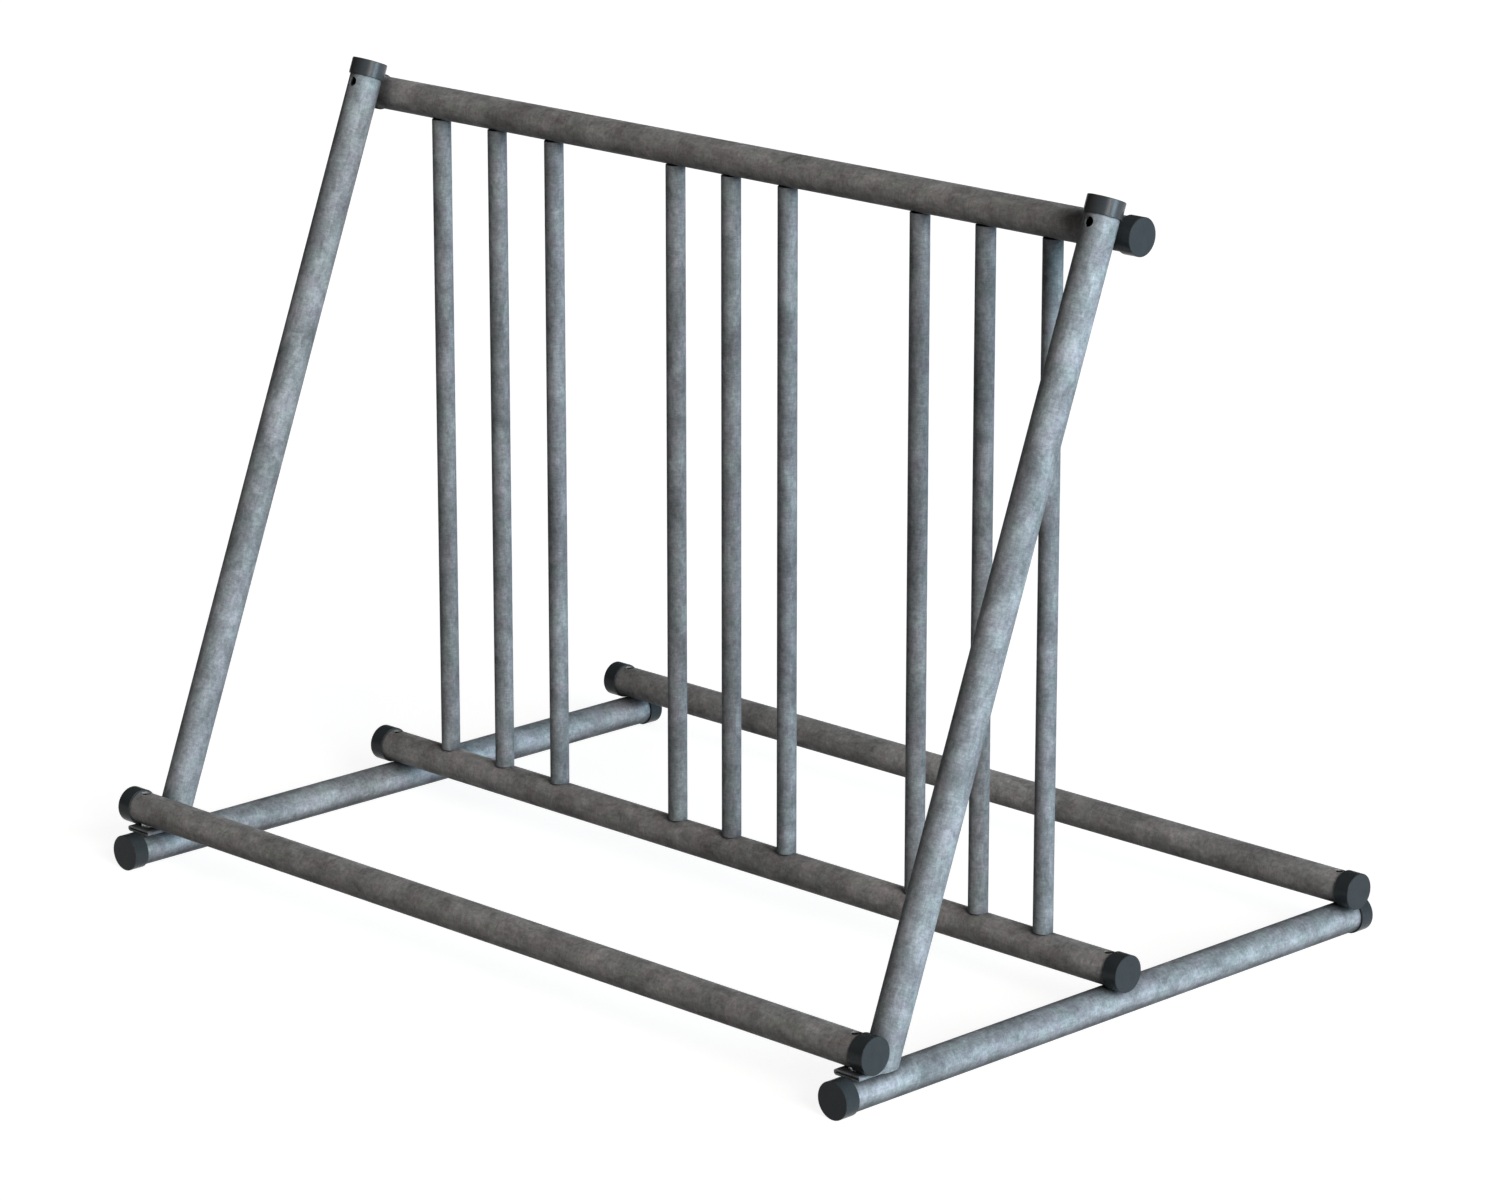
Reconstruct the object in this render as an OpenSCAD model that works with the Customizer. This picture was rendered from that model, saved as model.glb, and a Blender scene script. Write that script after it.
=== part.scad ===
// Single-sided grid rack for bicycles, made of bolted and welded round tube.
// Four cross rails and two base tubes carry nine pickets and two leaning legs.
// Millimetres. X runs along the rails, Y runs from the front rail to the rear rail,
// Z is up. The origin is on the floor, under the middle of the middle rail.

/* [Tubes] */
// Outside diameter of the frame tubes
tube_od = 48.26; // [44:0.02:54]
// Wall of the frame tubes
tube_wall = 2.77; // [2:0.01:3.8]
// Outside diameter of the pickets
picket_od = 28.6; // [24:0.1:34]
// Wall of the pickets
picket_wall = 2.1; // [1.6:0.1:3]

/* [Frame] */
// Length of each cross rail, without its caps
rail_len = 1524; // [1480:1:1800]
// From the middle rail to the front rail, and to the rear rail, axis to axis
rail_pitch = 497.4; // [420:0.2:600]
// From the axis of the front or rear rail to the end of a base tube, without its cap
base_overhang = 40.3; // [34:0.1:80]
// Height of the top rail's axis above the base tubes' axis
top_rise = 1071.7; // [900:0.1:1200]
// Space between a leg and the caps of the front rail
leg_gap = 3.6; // [2:0.1:8]

/* [Pickets] */
// Spacing of the pickets in the middle group
inner_pitch = 112.2; // [90:0.1:120]
// Spacing of the pickets in the two outer groups
outer_pitch = 121.9; // [90:0.1:125]
// From the end picket of one group to the first of the next
group_gap = 253.5; // [200:0.1:262]

/* [Feet] */
// Width of the flattened foot of a leg
foot_w = 47; // [44:0.5:54]
// Slit left between the two layers of a flattened foot
foot_slit = 2.88; // [0.6:0.02:4]
// From the tip of a foot to the cap of its base tube
foot_tip_gap = 2.9; // [1:0.1:6]
// How far the crimp, where round turns to flat, reaches in front of the round tube
crimp_run = 3.5; // [1:0.1:3.6]
// Height of the crimp above the foot
crimp_rise = 18; // [12:0.5:22]
// How far the sides of the crimp lie inside those of the round tube
crimp_inset = 0.3; // [0.2:0.1:0.8]

/* [End caps] */
// Side wall of a cap
cap_wall = 2.5; // [1.6:0.1:3]
// End wall of a cap
cap_end = 4.6; // [2.5:0.1:6]
// Whole length of a cap
cap_len = 24; // [18:0.5:34]
// Chamfer on the outer edge of a cap
cap_chamfer = 0.7; // [0.3:0.1:1.5]
// From the lip of a rail's cap to the side of the tube that crosses it
lip_gap = 0.6; // [0.4:0.1:6]
// From the lip of a leg's cap to the top rail
leg_lip_gap = 2.1; // [0.6:0.1:8]

/* [Joints] */
// Diameter of the round hole that lets in the screw and its key
access_d = 14.3; // [12.4:0.1:16]
// Diameter of the screw's shank
screw_d = 7.94; // [6:0.02:8]
// Diameter of the screw's head
head_d = 11.9; // [10:0.1:12.2]
// Height of the screw's head
head_h = 7.9; // [5:0.1:9]
// Width across the flats of the socket in the head
socket_af = 6.35; // [4:0.05:7]
// Depth of the socket in the head
socket_depth = 4; // [2:0.1:4.5]
// Diameter of the curved washer under the head
washer_d = 16; // [14:0.5:20]
// Thickness of the curved washer at its rim
washer_rim = 1; // [0.6:0.1:2]
// Diameter of the curved nut
nut_d = 18; // [15:0.5:22]
// Thickness of the curved nut at its rim
nut_rim = 6; // [4:0.5:9]
// How far the screw's end stands out of the nut
screw_end = 2; // [1:0.5:4]
// Diameter of the saddle between the front rail and a foot
saddle_d = 20; // [16:0.5:20]

/* [Clearances] */
// Between tubes that cross, cap rests and coped ends
seat_gap = 0.05; // [0.03:0.01:0.1]
// Between a cap's bore and its tube, on the radius
cap_fit = 0.05; // [0.03:0.01:0.15]
// Between the screw's shank and its holes in the tubes, on the radius
screw_fit = 0.4; // [0.2:0.05:0.6]
// Between the screw's shank and the nut, on the radius
thread_fit = 0.06; // [0.04:0.01:0.1]

/* [Hidden] */

$fn = 96;
left = -1;
right = 1;
sides = [left, right];
rail_color = [0.40, 0.39, 0.38];
leg_color = [0.62, 0.66, 0.69];
picket_color = [0.50, 0.52, 0.53];
cap_color = [0.16, 0.17, 0.18];
zinc_color = [0.70, 0.71, 0.72];

// Extra length that carries a cut clear through a wall
cut = 1;

tube_r = tube_od / 2;
bore_r = tube_r - tube_wall;
picket_r = picket_od / 2;
cap_r = tube_r + cap_fit + cap_wall;
access_r = access_d / 2;
hole_r = screw_d / 2 + screw_fit;
washer_r = washer_d / 2;
nut_r = nut_d / 2;
saddle_r = saddle_d / 2;

// Distance between the axes of two tubes that cross and touch
cross_d = tube_od + seat_gap;
// Sideways from a tube's axis to where the lip of a cap on the crossing tube meets it
lip_offset = sqrt(pow(tube_r, 2) - pow(min(cross_d - cap_r, tube_r), 2));
// The part of a cap that covers the tube
cap_cover = cap_len - cap_end;

// The base tubes stand on the caps at their ends
base_len = 2 * (rail_pitch + base_overhang);
base_z = cap_r;
base_x = rail_len / 2 - cap_cover - lip_gap - lip_offset;
rail_z = base_z + cross_d;
top_z = base_z + top_rise;

// The foot lies on the base tube, and the caps of the front rail rest on the foot
foot_t = 2 * tube_wall + foot_slit;
foot_z = base_z + tube_r + seat_gap;
foot_top = foot_z + foot_t;
front_z = foot_top + seat_gap + cap_r;
front_d = front_z - base_z;
foot_tip = -(base_len / 2 - cap_cover - foot_tip_gap);

// A leg's axis passes behind the front rail and in front of the top rail, so its lean
// from the vertical is that of the line between the two circles that it has to clear
clear_d = tube_r + cap_r + leg_gap + cross_d;
lean_run = rail_pitch;
lean_rise = top_z - front_z;
leg_lean = atan2(lean_run, lean_rise) - asin(clear_d / norm([lean_run, lean_rise]));
// The point of a leg's axis that lies nearest to the top rail's axis
leg_y = -cross_d * cos(leg_lean);
leg_z = top_z + cross_d * sin(leg_lean);
leg_end = lip_offset + leg_lip_gap + cap_cover;
leg_drop = (leg_z - foot_z) / cos(leg_lean);
// Where the axis of a leg meets a level plane
function leg_y_at(z) = leg_y - (leg_z - z) * tan(leg_lean);

// Heights in a joint's own frame: its origin is on the axis of the tube that has the
// access hole, and the screw points down
washer_top = -sqrt(pow(bore_r, 2) - pow(washer_r, 2)) + washer_rim;
function nut_bottom(d) = -d + sqrt(pow(bore_r, 2) - pow(nut_r, 2)) - nut_rim;

// The nine pickets, from left to right: three groups of three
function picket_x(i) =
  let (group = floor((i - 1) / 3) - 1, place = (i - 1) % 3 - 1)
  group == 0
    ? place * inner_pitch
    : group * (inner_pitch + group_gap + outer_pitch) + place * outer_pitch;

// A solid rod along X, centred
module rod_x(r, len) {
  rotate([0, 90, 0]) cylinder(r = r, h = len, center = true);
}

// A solid rod along Y, centred
module rod_y(r, len) {
  rotate([90, 0, 0]) cylinder(r = r, h = len, center = true);
}

// Joint frames. The tube with the access hole runs along X, the other along Y.
module rail_joint(side, y, z) {
  translate([side * base_x, y, z]) children();
}

// The frame of a leg: Z runs up its axis, and the top rail lies on the +Y side
module leg_frame(side) {
  translate([side * base_x, leg_y, leg_z]) rotate([-leg_lean, 0, 0]) children();
}

module leg_joint(side) {
  leg_frame(side) rotate([90, 0, 0]) rotate([0, 0, 90]) children();
}

// The cuts that a joint makes in the tube with the access hole
module access_cut() {
  cylinder(r = access_r, h = tube_r + cut);
  translate([0, 0, -tube_r - cut]) cylinder(r = hole_r, h = tube_r + cut);
}

// The cut that a joint makes in the near wall of the other tube, whose axis is d away
module clamp_cut(d) {
  translate([0, 0, -d]) cylinder(r = hole_r, h = tube_r + cut);
}

module base_tube(side) {
  color(leg_color)
  difference() {
    translate([side * base_x, 0, base_z]) rod_y(tube_r, base_len);
    translate([side * base_x, 0, base_z]) rod_y(bore_r, base_len + 2 * cut);
    rail_joint(side, -rail_pitch, front_z) clamp_cut(front_d);
    for (y = [0, rail_pitch]) {
      rail_joint(side, y, rail_z) clamp_cut(cross_d);
    }
  }
}

// One of the three low rails, with an access hole over each base tube
module low_rail(y, z) {
  color(rail_color)
  difference() {
    translate([0, y, z]) rod_x(tube_r, rail_len);
    translate([0, y, z]) rod_x(bore_r, rail_len + 2 * cut);
    for (side = sides) {
      rail_joint(side, y, z) access_cut();
    }
  }
}

module top_rail() {
  color(rail_color)
  difference() {
    translate([0, 0, top_z]) rod_x(tube_r, rail_len);
    translate([0, 0, top_z]) rod_x(bore_r, rail_len + 2 * cut);
    for (side = sides) {
      leg_joint(side) clamp_cut(cross_d);
    }
  }
}

// A picket is coped at both ends to sit round the two rails
module picket(i) {
  color(picket_color)
  translate([picket_x(i), 0, 0])
  difference() {
    translate([0, 0, rail_z]) cylinder(r = picket_r, h = top_z - rail_z);
    translate([0, 0, rail_z]) cylinder(r = picket_r - picket_wall, h = top_z - rail_z);
    for (z = [rail_z, top_z]) {
      translate([0, 0, z]) rod_x(tube_r + seat_gap, picket_od + 2 * cut);
    }
  }
}

// A slab over the foot's underside, wide enough for the whole leg
module above(z) {
  translate([-tube_od, -base_len, z]) cube([2 * tube_od, 2 * base_len, top_rise + base_len]);
}

// The flat foot, with half-round edges, from y1 back to y2
module foot_bar(y1, y2) {
  edge_r = foot_t / 2;
  translate([edge_r - foot_w / 2, y1, foot_z]) cube([foot_w - foot_t, y2 - y1, foot_t]);
  for (side = sides) {
    translate([side * (foot_w / 2 - edge_r), (y1 + y2) / 2, foot_z + edge_r])
      rod_y(edge_r, y2 - y1);
  }
}

// The crimp, where the front of the round tube leans further forward into the flat
module crimp() {
  crimp_z = foot_top + crimp_rise;
  crimp_lean = atan2(crimp_run + crimp_rise * tan(leg_lean), crimp_rise);
  reach = (crimp_rise + foot_t) / cos(crimp_lean) + tube_od;
  translate([0, leg_y_at(crimp_z), crimp_z]) rotate([-crimp_lean, 0, 0])
    translate([0, 0, -reach]) cylinder(r = tube_r - crimp_inset, h = reach);
}

// A leg: round tube down to the base tube, then crimped, flattened and bent forward
module leg(side) {
  heel_y = leg_y_at(foot_z + foot_t / 2);
  color(leg_color)
  difference() {
    union() {
      intersection() {
        union() {
          leg_frame(side) translate([0, 0, -leg_drop - tube_od])
            cylinder(r = tube_r, h = leg_end + leg_drop + tube_od);
          translate([side * base_x, 0, 0]) crimp();
        }
        translate([side * base_x, 0, 0]) above(foot_z);
      }
      translate([side * base_x, 0, 0]) foot_bar(foot_tip, heel_y);
    }
    // The bore stops one wall above the underside of the foot
    intersection() {
      leg_frame(side) translate([0, 0, -leg_drop - tube_od])
        cylinder(r = bore_r, h = leg_end + leg_drop + tube_od + cut);
      translate([side * base_x, 0, 0]) above(foot_z + tube_wall);
    }
    // The slit between the two layers of the foot, open at the tip
    translate([side * base_x - foot_w / 2 + tube_wall, foot_tip - cut, foot_z + tube_wall])
      cube([foot_w - 2 * tube_wall, heel_y - foot_tip + cut, foot_slit]);
    translate([side * base_x, -rail_pitch, foot_z - cut])
      cylinder(r = hole_r, h = foot_t + 2 * cut);
    leg_joint(side) access_cut();
  }
}

// A cap slipped over a tube that ends at z = 0, pointing up
module end_cap() {
  color(cap_color)
  difference() {
    union() {
      translate([0, 0, -cap_cover]) cylinder(r = cap_r, h = cap_len - cap_chamfer);
      translate([0, 0, cap_end - cap_chamfer])
        cylinder(r1 = cap_r, r2 = cap_r - cap_chamfer, h = cap_chamfer);
    }
    translate([0, 0, -cap_cover - cut]) cylinder(r = tube_r + cap_fit, h = cap_cover + cut);
  }
}

module rail_cap(side, y, z) {
  translate([side * rail_len / 2, y, z]) rotate([0, side * 90, 0]) end_cap();
}

// end is -1 for the front of a base tube and 1 for its rear
module base_cap(side, end) {
  translate([side * base_x, end * base_len / 2, base_z]) rotate([-end * 90, 0, 0]) end_cap();
}

module leg_cap(side) {
  leg_frame(side) translate([0, 0, leg_end]) end_cap();
}

// A socket head screw through tubes whose axes are d apart
module screw(d) {
  tip = nut_bottom(d) - screw_end;
  color(zinc_color)
  difference() {
    union() {
      translate([0, 0, washer_top]) cylinder(r = head_d / 2, h = head_h);
      translate([0, 0, tip]) cylinder(r = screw_d / 2, h = washer_top - tip);
    }
    translate([0, 0, washer_top + head_h - socket_depth])
      cylinder(r = socket_af / 2 / cos(30), h = socket_depth + cut, $fn = 6);
  }
}

// A washer that is curved below, to sit in the bore of the tube with the access hole
module saddle_washer() {
  color(zinc_color)
  difference() {
    intersection() {
      translate([0, 0, -tube_r]) cylinder(r = washer_r, h = tube_r + washer_top);
      rod_x(bore_r - seat_gap, washer_d + 2 * cut);
    }
    translate([0, 0, -tube_r - cut]) cylinder(r = hole_r, h = tube_r + 2 * cut);
  }
}

// A nut that is curved above, to sit in the bore of the other tube
module saddle_nut(d) {
  color(zinc_color)
  difference() {
    intersection() {
      translate([0, 0, nut_bottom(d)]) cylinder(r = nut_r, h = tube_r - d - nut_bottom(d));
      translate([0, 0, -d]) rod_y(bore_r - seat_gap, nut_d + 2 * cut);
    }
    translate([0, 0, -d]) cylinder(r = screw_d / 2 + thread_fit, h = tube_r);
  }
}

// A saddle that carries the front rail on a foot, curved above and flat below
module front_saddle() {
  color(zinc_color)
  difference() {
    translate([0, 0, -cap_r]) cylinder(r = saddle_r, h = cap_r - bore_r);
    rod_x(tube_r + seat_gap, saddle_d + 2 * cut);
    translate([0, 0, -cap_r - cut]) cylinder(r = hole_r, h = cap_r);
  }
}

module rail_screws() {
  for (side = sides, y = [0, rail_pitch]) {
    rail_joint(side, y, rail_z) screw(cross_d);
  }
}

module front_screws() {
  for (side = sides) {
    rail_joint(side, -rail_pitch, front_z) screw(front_d);
  }
}

module top_screws() {
  for (side = sides) {
    leg_joint(side) screw(cross_d);
  }
}

module saddle_washers() {
  for (side = sides) {
    rail_joint(side, -rail_pitch, front_z) saddle_washer();
    rail_joint(side, 0, rail_z) saddle_washer();
    rail_joint(side, rail_pitch, rail_z) saddle_washer();
    leg_joint(side) saddle_washer();
  }
}

module saddle_nuts() {
  for (side = sides) {
    rail_joint(side, -rail_pitch, front_z) saddle_nut(front_d);
    rail_joint(side, 0, rail_z) saddle_nut(cross_d);
    rail_joint(side, rail_pitch, rail_z) saddle_nut(cross_d);
    leg_joint(side) saddle_nut(cross_d);
  }
}

module front_saddles() {
  for (side = sides) {
    rail_joint(side, -rail_pitch, front_z) front_saddle();
  }
}

base_tube(left);  // base_tube_left
base_tube(right);  // base_tube_right
low_rail(-rail_pitch, front_z);  // front_rail
low_rail(0, rail_z);  // middle_rail
low_rail(rail_pitch, rail_z);  // rear_rail
top_rail();
leg(left);  // leg_left
leg(right);  // leg_right
picket(1);  // picket_1
picket(2);  // picket_2
picket(3);  // picket_3
picket(4);  // picket_4
picket(5);  // picket_5
picket(6);  // picket_6
picket(7);  // picket_7
picket(8);  // picket_8
picket(9);  // picket_9
base_cap(left, -1);  // cap_base_left_front
base_cap(left, 1);  // cap_base_left_rear
base_cap(right, -1);  // cap_base_right_front
base_cap(right, 1);  // cap_base_right_rear
rail_cap(left, -rail_pitch, front_z);  // cap_front_rail_left
rail_cap(right, -rail_pitch, front_z);  // cap_front_rail_right
rail_cap(left, 0, rail_z);  // cap_middle_rail_left
rail_cap(right, 0, rail_z);  // cap_middle_rail_right
rail_cap(left, rail_pitch, rail_z);  // cap_rear_rail_left
rail_cap(right, rail_pitch, rail_z);  // cap_rear_rail_right
rail_cap(left, 0, top_z);  // cap_top_rail_left
rail_cap(right, 0, top_z);  // cap_top_rail_right
leg_cap(left);  // cap_leg_left
leg_cap(right);  // cap_leg_right
rail_screws();
front_screws();
top_screws();
saddle_washers();
saddle_nuts();
front_saddles();
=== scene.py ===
# Looks of a galvanised rack for bicycles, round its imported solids. Metres, Z up, the floor at Z = 0.
import math

import bmesh
import bpy
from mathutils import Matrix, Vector


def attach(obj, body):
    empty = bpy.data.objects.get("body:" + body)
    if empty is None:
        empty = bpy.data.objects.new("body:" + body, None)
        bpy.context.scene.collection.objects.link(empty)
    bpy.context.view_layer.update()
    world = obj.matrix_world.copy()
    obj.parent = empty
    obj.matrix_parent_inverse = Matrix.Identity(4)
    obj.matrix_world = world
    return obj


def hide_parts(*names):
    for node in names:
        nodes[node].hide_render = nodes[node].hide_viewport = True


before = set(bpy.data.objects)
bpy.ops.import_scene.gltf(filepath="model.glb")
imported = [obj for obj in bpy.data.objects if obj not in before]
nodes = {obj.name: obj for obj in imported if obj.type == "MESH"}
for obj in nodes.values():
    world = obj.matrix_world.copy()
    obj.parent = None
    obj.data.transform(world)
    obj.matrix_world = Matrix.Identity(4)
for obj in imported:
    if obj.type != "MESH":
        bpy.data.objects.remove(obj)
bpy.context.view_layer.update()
scene = bpy.context.scene

# Camera, at the place that the photo was taken from. Its focal length is in the photo's pixels
PHOTO_WIDTH = 1500
FOCAL_PX = 5507.03
SENSOR_MM = 36
CAMERA_AT = (5.41623, -5.37845, 2.57660)
AZIMUTH = 45.0
ELEVATION = 15.544
NEAREST = 0.1
FARTHEST = 200


def make_camera():
    data = bpy.data.cameras.new("camera")
    data.sensor_width = SENSOR_MM
    data.lens = FOCAL_PX * SENSOR_MM / PHOTO_WIDTH
    data.clip_start = NEAREST
    data.clip_end = FARTHEST
    camera = bpy.data.objects.new("camera", data)
    camera.location = CAMERA_AT
    camera.rotation_euler = (math.radians(90 - ELEVATION), 0, math.radians(AZIMUTH))
    scene.collection.objects.link(camera)
    scene.camera = camera


# Stretches that most of a noise's values lie in
MIDDLE = (0.3, 0.7)
CORE = (0.35, 0.65)

# A Mix node has sockets for several types under the same names, so its two colours go by number
MIX_A = 6
MIX_B = 7
MIX_RESULT = 2


class Shader:
    """A material's node tree, built one node at a time."""

    def __init__(self, name):
        self.material = bpy.data.materials.new(name)
        self.material.use_nodes = True
        self.tree = self.material.node_tree
        self.bsdf = self.tree.nodes["Principled BSDF"]
        self.out = self.tree.nodes["Material Output"]

    def put(self, socket, value):
        if isinstance(value, bpy.types.NodeSocket):
            self.tree.links.new(value, socket)
        else:
            socket.default_value = value

    def node(self, kind, inputs, **settings):
        node = self.tree.nodes.new("ShaderNode" + kind)
        for key, value in settings.items():
            setattr(node, key, value)
        for key, value in inputs.items():
            self.put(node.inputs[key], value)
        return node

    def coords(self):
        return self.node("TexCoord", {}).outputs["Object"]

    def vector(self, operation, a, b):
        return self.node("VectorMath", {0: a, 1: b}, operation=operation).outputs["Vector"]

    def scaled(self, vector, factor):
        return self.node("VectorMath", {0: vector, "Scale": factor}, operation="SCALE").outputs["Vector"]

    def math(self, operation, a, b):
        return self.node("Math", {0: a, 1: b}, operation=operation).outputs["Value"]

    def product(self, values):
        result = values[0]
        for value in values[1:]:
            result = self.math("MULTIPLY", result, value)
        return result

    def noise(self, vector, scale, detail=2.0, roughness=0.5, distortion=0.0, output="Fac"):
        inputs = {"Vector": vector, "Scale": scale, "Detail": detail}
        inputs.update({"Roughness": roughness, "Distortion": distortion})
        return self.node("TexNoise", inputs).outputs[output]

    def span(self, value, within, low=0.0, high=1.0):
        """Carries the stretch within two ends over to the stretch from low to high, and clamps the rest."""
        inputs = {"Value": value, "From Min": within[0], "From Max": within[1]}
        inputs.update({"To Min": low, "To Max": high})
        return self.node("MapRange", inputs).outputs["Result"]

    def mix(self, factor, a, b):
        inputs = {"Factor": factor, MIX_A: a, MIX_B: b}
        return self.node("Mix", inputs, data_type="RGBA").outputs[MIX_RESULT]

    def bump(self, height, distance, strength, normal=None):
        inputs = {"Height": height, "Distance": distance, "Strength": strength}
        if normal is not None:
            inputs["Normal"] = normal
        return self.node("Bump", inputs).outputs["Normal"]


def rgba(r, g, b):
    return (r, g, b, 1.0)


# Painted shade: the zinc is darkened near another surface, in joints, in bores and over the ground. How
# near that is, the shares of open view between which the painted shade fades out, and the zinc's brightness
# where it is deepest
PAINTED_SHADE_REACH = 0.035
PAINTED_SHADE_OPEN = (0.40, 0.92)
PAINTED_SHADE_DEPTH = 0.30

# Side of the zinc's straight-sided patches, and how far their outlines stray
PATCH_SIZE = 0.026
PATCH_STRAY = 0.008

# Each kind of tube has its own part of the noise, moved by its seed in these shares
SEED_SHARES = (1.0, 0.7, 1.3)


def along_tube(axis, down, across):
    """Factors for coordinates: down the tube's axis, X, Y or Z, and across it."""
    factors = [across, across, across]
    factors["XYZ".index(axis)] = down
    return factors


def galvanised(name, axis, seed, teal, violet, metallic, lean=0.0):
    """Hot-dip zinc: clouds, straight-sided patches, flecks, a fine grain across and along the tube, and
    painted shade near other surfaces.
    """
    s = Shader(name)
    turned = s.node("VectorRotate", {"Vector": s.coords(), "Angle": lean}, rotation_type="X_AXIS")
    at = s.vector("ADD", turned.outputs["Vector"], [seed * share for share in SEED_SHARES])
    lengthwise = s.vector("MULTIPLY", at, along_tube(axis, down=0.6, across=1.0))
    drawn = s.vector("MULTIPLY", at, along_tube(axis, down=0.18, across=1.0))
    squeezed = s.vector("MULTIPLY", at, along_tube(axis, down=1.0, across=0.22))
    clouds = s.noise(lengthwise, scale=18.0, detail=3.0, roughness=0.55, distortion=0.4)
    blotches = s.noise(lengthwise, scale=55.0, detail=4.0, roughness=0.62, distortion=0.6)
    mottle = s.noise(at, scale=170.0, detail=3.0, roughness=0.65)
    flecks = s.noise(at, scale=260.0)
    strokes = s.noise(drawn, scale=480.0, roughness=0.55)
    rings = s.noise(squeezed, scale=480.0, roughness=0.55)
    grain = s.noise(at, scale=1100.0, roughness=0.6)

    stray = s.vector("MULTIPLY", s.noise(at, scale=70.0, detail=3.0, output="Color"), [PATCH_STRAY] * 3)
    patch = s.vector("SNAP", s.vector("ADD", lengthwise, stray), [PATCH_SIZE] * 3)
    patches = s.node("TexWhiteNoise", {"Vector": patch}).outputs["Value"]
    # Ambient occlusion: the share of open view, which drives the painted shade
    shade_openness = s.node("AmbientOcclusion", {"Distance": PAINTED_SHADE_REACH}, samples=8).outputs["AO"]

    tone = s.product([
        s.span(clouds, (0.32, 0.68), 0.78, 1.20),
        s.span(blotches, MIDDLE, 0.74, 1.24),
        s.span(mottle, MIDDLE, 0.82, 1.18),
        s.span(patches, (0.0, 1.0), 0.90, 1.09),
        s.span(flecks, (0.58, 0.72), 1.0, 1.16),
        s.span(strokes, MIDDLE, 0.90, 1.10),
        s.span(rings, MIDDLE, 0.88, 1.12),
        s.span(grain, MIDDLE, 0.92, 1.08),
        # Painted shade near other surfaces: darker where less of the view is open
        s.span(shade_openness, PAINTED_SHADE_OPEN, PAINTED_SHADE_DEPTH, 1.0),
    ])
    hue = s.mix(s.span(s.noise(at, scale=36.0), (0.36, 0.64)), teal, violet)
    s.put(s.bsdf.inputs["Base Color"], s.scaled(hue, tone))
    s.bsdf.inputs["Metallic"].default_value = metallic
    s.bsdf.inputs["Specular IOR Level"].default_value = 0.06
    s.put(s.bsdf.inputs["Roughness"], s.span(blotches, MIDDLE, 0.66, 0.54))
    peel = s.bump(s.noise(at, scale=240.0), distance=0.0002, strength=0.35)
    s.put(s.bsdf.inputs["Normal"], s.bump(grain, distance=0.00008, strength=0.5, normal=peel))
    return s.material


def cap_plastic(name, dark, light, gloss):
    """Moulded cap: dark grey, satin, with a slight cloudiness and a fine moulded grain."""
    s = Shader(name)
    at = s.coords()
    clouds = s.noise(at, scale=60.0, detail=3.0, roughness=0.6)
    grain = s.noise(at, scale=1500.0)
    s.put(s.bsdf.inputs["Base Color"], s.mix(s.span(clouds, CORE), dark, light))
    s.put(s.bsdf.inputs["Roughness"], s.span(clouds, CORE, 0.30, 0.25))
    s.bsdf.inputs["Specular IOR Level"].default_value = gloss
    s.put(s.bsdf.inputs["Normal"], s.bump(grain, distance=0.00006, strength=0.4))
    return s.material


def zinc_plate():
    """Bright zinc plate on the screws, washers, nuts and saddles."""
    s = Shader("zinc_plated")
    at = s.coords()
    tint = s.span(s.noise(at, scale=300.0, detail=3.0, roughness=0.6), CORE)
    s.put(s.bsdf.inputs["Base Color"], s.mix(tint, rgba(0.50, 0.51, 0.53), rgba(0.64, 0.64, 0.63)))
    s.bsdf.inputs["Metallic"].default_value = 1.0
    s.put(s.bsdf.inputs["Roughness"], s.span(s.noise(at, scale=900.0), MIDDLE, 0.28, 0.42))
    return s.material


# How far a picket's square end reaches past the line where it touches its rail, at the foot and the head
FOOT_BITE = 0.0006
HEAD_BITE = 0.0002

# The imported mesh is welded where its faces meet, and its edges are sharp from this angle up
WELD_WITHIN = 0.000001
SHARP_ANGLE = math.radians(30)


def square_picket(name):
    """The picket with its saddle ends trimmed square, as in the photo. It still stands on both rails."""
    foot = max(corner[2] for corner in nodes["middle_rail"].bound_box) - FOOT_BITE
    head = min(corner[2] for corner in nodes["top_rail"].bound_box) + HEAD_BITE
    shape = bmesh.new()
    shape.from_mesh(nodes[name].data)
    bmesh.ops.remove_doubles(shape, verts=shape.verts, dist=WELD_WITHIN)
    for height, side in ((foot, -1), (head, 1)):
        whole = shape.verts[:] + shape.edges[:] + shape.faces[:]
        cut = {"plane_co": (0, 0, height), "plane_no": (0, 0, side)}
        bmesh.ops.bisect_plane(shape, geom=whole, clear_outer=True, **cut)
        rim = [edge for edge in shape.edges if edge.is_boundary]
        bmesh.ops.holes_fill(shape, edges=rim, sides=0)
    bmesh.ops.recalc_face_normals(shape, faces=shape.faces)
    mesh = bpy.data.meshes.new(name + "_tube")
    shape.to_mesh(mesh)
    shape.free()
    mesh.shade_smooth()
    mesh.set_sharp_from_angle(angle=SHARP_ANGLE)
    piece = bpy.data.objects.new(name + "_tube", mesh)
    scene.collection.objects.link(piece)
    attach(piece, "root")
    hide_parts(name)
    return mesh


def wear(mesh, material):
    mesh.materials.clear()
    mesh.materials.append(material)


# How far the legs lean back from upright
LEG_LEAN = math.radians(20.94)


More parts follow.
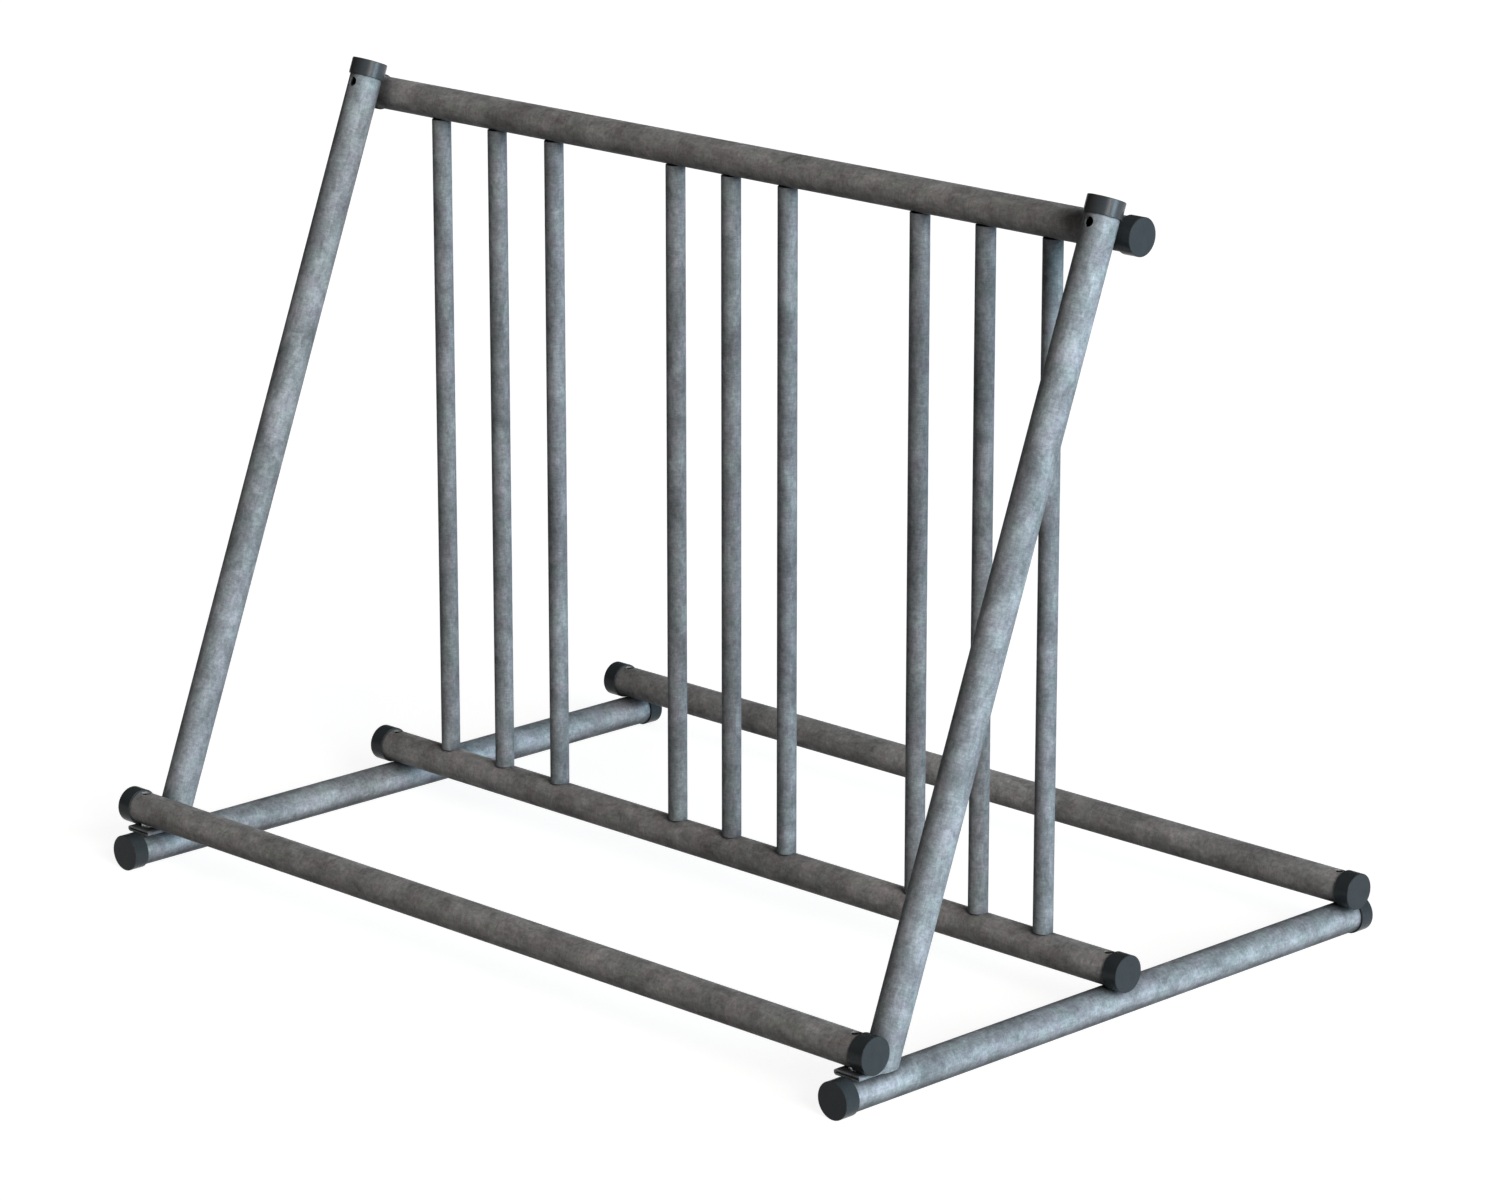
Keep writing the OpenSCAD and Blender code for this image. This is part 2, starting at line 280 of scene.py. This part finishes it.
def make_tube_looks():
    """Zinc for each kind of tube, each with its grain along the tube's own axis, and each with painted
    light and shade in its tint.
    """
    # The four copies of one zinc differ in tint and brightness as painted light and shade: the pickets
    # darkest, the legs darker, the base tubes lightest and bluest, the rails warmest
    return {
        "rail": galvanised(
            "galvanised_rails", "X", seed=0.0, metallic=0.03,
            teal=rgba(0.354, 0.358, 0.350), violet=rgba(0.370, 0.345, 0.350),
        ),
        "base": galvanised(
            "galvanised_base", "Y", seed=3.1, metallic=0.42,
            teal=rgba(0.350, 0.390, 0.402), violet=rgba(0.370, 0.375, 0.412),
        ),
        "leg": galvanised(
            "galvanised_legs", "Z", seed=7.4, metallic=0.08, lean=LEG_LEAN,
            teal=rgba(0.304, 0.338, 0.348), violet=rgba(0.320, 0.325, 0.356),
        ),
        "picket": galvanised(
            "galvanised_pickets", "Z", seed=5.2, metallic=0.06,
            teal=rgba(0.246, 0.274, 0.282), violet=rgba(0.262, 0.266, 0.292),
        ),
    }


def dress():
    tube = make_tube_looks()
    plastic = cap_plastic(
        "cap_plastic", rgba(0.042, 0.050, 0.055), rgba(0.050, 0.058, 0.063), gloss=0.09
    )
    leg_plastic = cap_plastic(
        "leg_cap_plastic", rgba(0.055, 0.060, 0.064), rgba(0.067, 0.070, 0.074), gloss=0.22
    )
    plate = zinc_plate()
    for name in nodes:
        mesh = nodes[name].data
        if name.startswith("cap_leg"):
            wear(mesh, leg_plastic)
        elif name.startswith("cap_"):
            wear(mesh, plastic)
        elif name.endswith("_rail"):
            wear(mesh, tube["rail"])
        elif name.startswith("base_tube"):
            wear(mesh, tube["base"])
        elif name.startswith("leg_"):
            wear(mesh, tube["leg"])
        elif name.startswith("picket_"):
            wear(square_picket(name), tube["picket"])
        else:
            wear(mesh, plate)


# Studio. A camera, a reflection or a clear surface sees the floor white but for the object's shadow, and
# the light that the floor throws back on the object is faint
FLOOR_SIZE = 60
FLOOR_BOUNCE = rgba(0.07, 0.067, 0.064)
FLOOR_SHADED = rgba(0.40, 0.40, 0.40)
FLOOR_GLOW = 0.875
WORLD_COLOUR = rgba(1.05, 1.0, 0.95)
WORLD_STRENGTH = 0.055

# A sun lamp lights alike from any distance. This one only sets where it is drawn
LAMP_DISTANCE = 6


def lamp(name, azimuth, elevation, spread, strength, colour, glints=True):
    """A soft lamp that lights both ends of the rack alike. Angles are in degrees."""
    data = bpy.data.lights.new(name, "SUN")
    data.angle = math.radians(spread)
    data.energy = strength
    data.color = colour
    light = bpy.data.objects.new(name, data)
    turn = math.radians(azimuth)
    rise = math.radians(elevation)
    level = math.cos(rise)
    toward = Vector((math.cos(turn) * level, math.sin(turn) * level, math.sin(rise)))
    light.location = toward * LAMP_DISTANCE
    light.rotation_euler = toward.to_track_quat("Z", "Y").to_euler()
    light.visible_glossy = glints
    scene.collection.objects.link(light)


def make_floor():
    bpy.ops.mesh.primitive_plane_add(size=FLOOR_SIZE, location=(0, 0, 0))
    floor = bpy.context.object
    floor.name = "floor"
    s = Shader("floor")
    path = s.node("LightPath", {}).outputs
    seen = s.math("MAXIMUM", path["Is Camera Ray"], path["Is Glossy Ray"])
    seen = s.math("MAXIMUM", seen, path["Is Transmission Ray"])
    bounce = s.node("BsdfDiffuse", {"Color": FLOOR_BOUNCE}).outputs["BSDF"]
    shaded = s.node("BsdfDiffuse", {"Color": FLOOR_SHADED}).outputs["BSDF"]
    glow = s.node("Emission", {"Color": rgba(1, 1, 1), "Strength": FLOOR_GLOW}).outputs["Emission"]
    white = s.node("AddShader", {0: shaded, 1: glow}).outputs["Shader"]
    mixed = s.node("MixShader", {0: seen, 1: bounce, 2: white}).outputs["Shader"]
    s.put(s.out.inputs["Surface"], mixed)
    floor.data.materials.append(s.material)


def make_world():
    world = bpy.data.worlds.new("studio")
    scene.world = world
    world.use_nodes = True
    back = world.node_tree.nodes["Background"]
    back.inputs["Color"].default_value = WORLD_COLOUR
    back.inputs["Strength"].default_value = WORLD_STRENGTH


make_camera()
dress()
make_floor()
make_world()
lamp("key", azimuth=-18, elevation=21, spread=28, strength=2.02, colour=(1.02, 1.0, 0.96))
lamp("side", azimuth=11, elevation=4, spread=28, strength=2.75, colour=(0.74, 1.0, 1.19))
lamp("back", azimuth=137, elevation=4, spread=34, strength=2.2, colour=(1.0, 1.0, 1.0), glints=False)
scene.view_settings.view_transform = "Standard"
